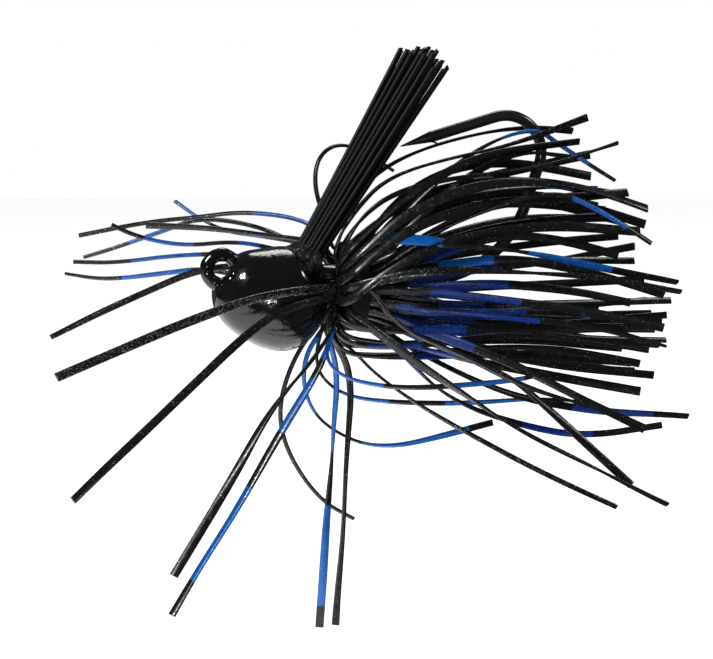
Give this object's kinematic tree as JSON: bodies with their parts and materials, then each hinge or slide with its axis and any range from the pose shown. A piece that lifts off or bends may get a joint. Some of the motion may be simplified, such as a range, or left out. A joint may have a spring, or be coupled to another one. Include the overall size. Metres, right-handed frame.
{
  "type": "skirted jig head",
  "caption": "Lead jig head cast round an upturned hook, with a line eye, a fibre weed guard and a banded silicone skirt held on the neck by a rubber collar.",
  "frame": {"origin": "centre of the line eye at the nose, in the plane of the hook", "axes": "+X from the nose to the tail along the hook's shank, +Z towards the side of the hook point and the weed guard, +Y across, along the line eye's hole"},
  "size_m": [0.0743, 0.0346, 0.065],
  "materials": {
    "head_paint": "glossy black baked powder paint on lead",
    "hook_steel": "polished black nickel",
    "guard_nylon": "satin black nylon fibre",
    "guard_glue": "cured clear-grey glue over black paint",
    "collar_rubber": "matte black latex",
    "skirt_silicone": "glossy black silicone with cobalt-blue bands and fine silver flake"
  },
  "bodies": {
    "root": {"lead_head": "head_paint", "jig_hook": "hook_steel", "guard_plug": "guard_nylon", "guard_glue": "guard_glue", "skirt_collar": "collar_rubber", "skirt_strand_01": "skirt_silicone", "skirt_strand_02": "skirt_silicone", "skirt_strand_03": "skirt_silicone", "skirt_strand_04": "skirt_silicone", "skirt_strand_05": "skirt_silicone", "skirt_strand_06": "skirt_silicone", "skirt_strand_07": "skirt_silicone", "skirt_strand_08": "skirt_silicone", "skirt_strand_09": "skirt_silicone", "skirt_strand_10": "skirt_silicone", "skirt_strand_11": "skirt_silicone", "skirt_strand_12": "skirt_silicone", "skirt_strand_13": "skirt_silicone", "skirt_strand_14": "skirt_silicone", "skirt_strand_15": "skirt_silicone", "skirt_strand_16": "skirt_silicone", "skirt_strand_17": "skirt_silicone", "skirt_strand_18": "skirt_silicone", "skirt_strand_19": "skirt_silicone", "skirt_strand_20": "skirt_silicone", "skirt_strand_21": "skirt_silicone", "skirt_strand_22": "skirt_silicone", "skirt_strand_23": "skirt_silicone", "skirt_strand_24": "skirt_silicone", "skirt_strand_25": "skirt_silicone", "skirt_strand_26": "skirt_silicone", "skirt_strand_27": "skirt_silicone", "skirt_strand_28": "skirt_silicone", "skirt_strand_29": "skirt_silicone", "skirt_strand_30": "skirt_silicone", "skirt_strand_31": "skirt_silicone", "skirt_strand_32": "skirt_silicone", "skirt_strand_33": "skirt_silicone", "skirt_strand_34": "skirt_silicone", "skirt_strand_35": "skirt_silicone", "skirt_strand_36": "skirt_silicone", "skirt_strand_37": "skirt_silicone", "skirt_strand_38": "skirt_silicone", "skirt_strand_39": "skirt_silicone", "skirt_strand_40": "skirt_silicone", "skirt_strand_41": "skirt_silicone", "skirt_strand_42": "skirt_silicone"},
    "weed_guard": {"guard_bristles_left": "guard_nylon", "guard_bristles_right": "guard_nylon"}
  },
  "joints": [
    {"name": "weed_guard_bend", "type": "hinge", "parent": "root", "child": "weed_guard", "pos_m": [0.0104, 0, 0.0027], "axis": [0, 1, 0], "range_deg": [-15, 30], "stiffness_Nm_per_rad": 0.03, "deforming": ["skirt_strand_01", "skirt_strand_02", "skirt_strand_03", "skirt_strand_13", "skirt_strand_14", "skirt_strand_15", "skirt_strand_16", "skirt_strand_17", "skirt_strand_27", "skirt_strand_28", "skirt_strand_29", "skirt_strand_30", "skirt_strand_41", "skirt_strand_42"]}
  ]
}
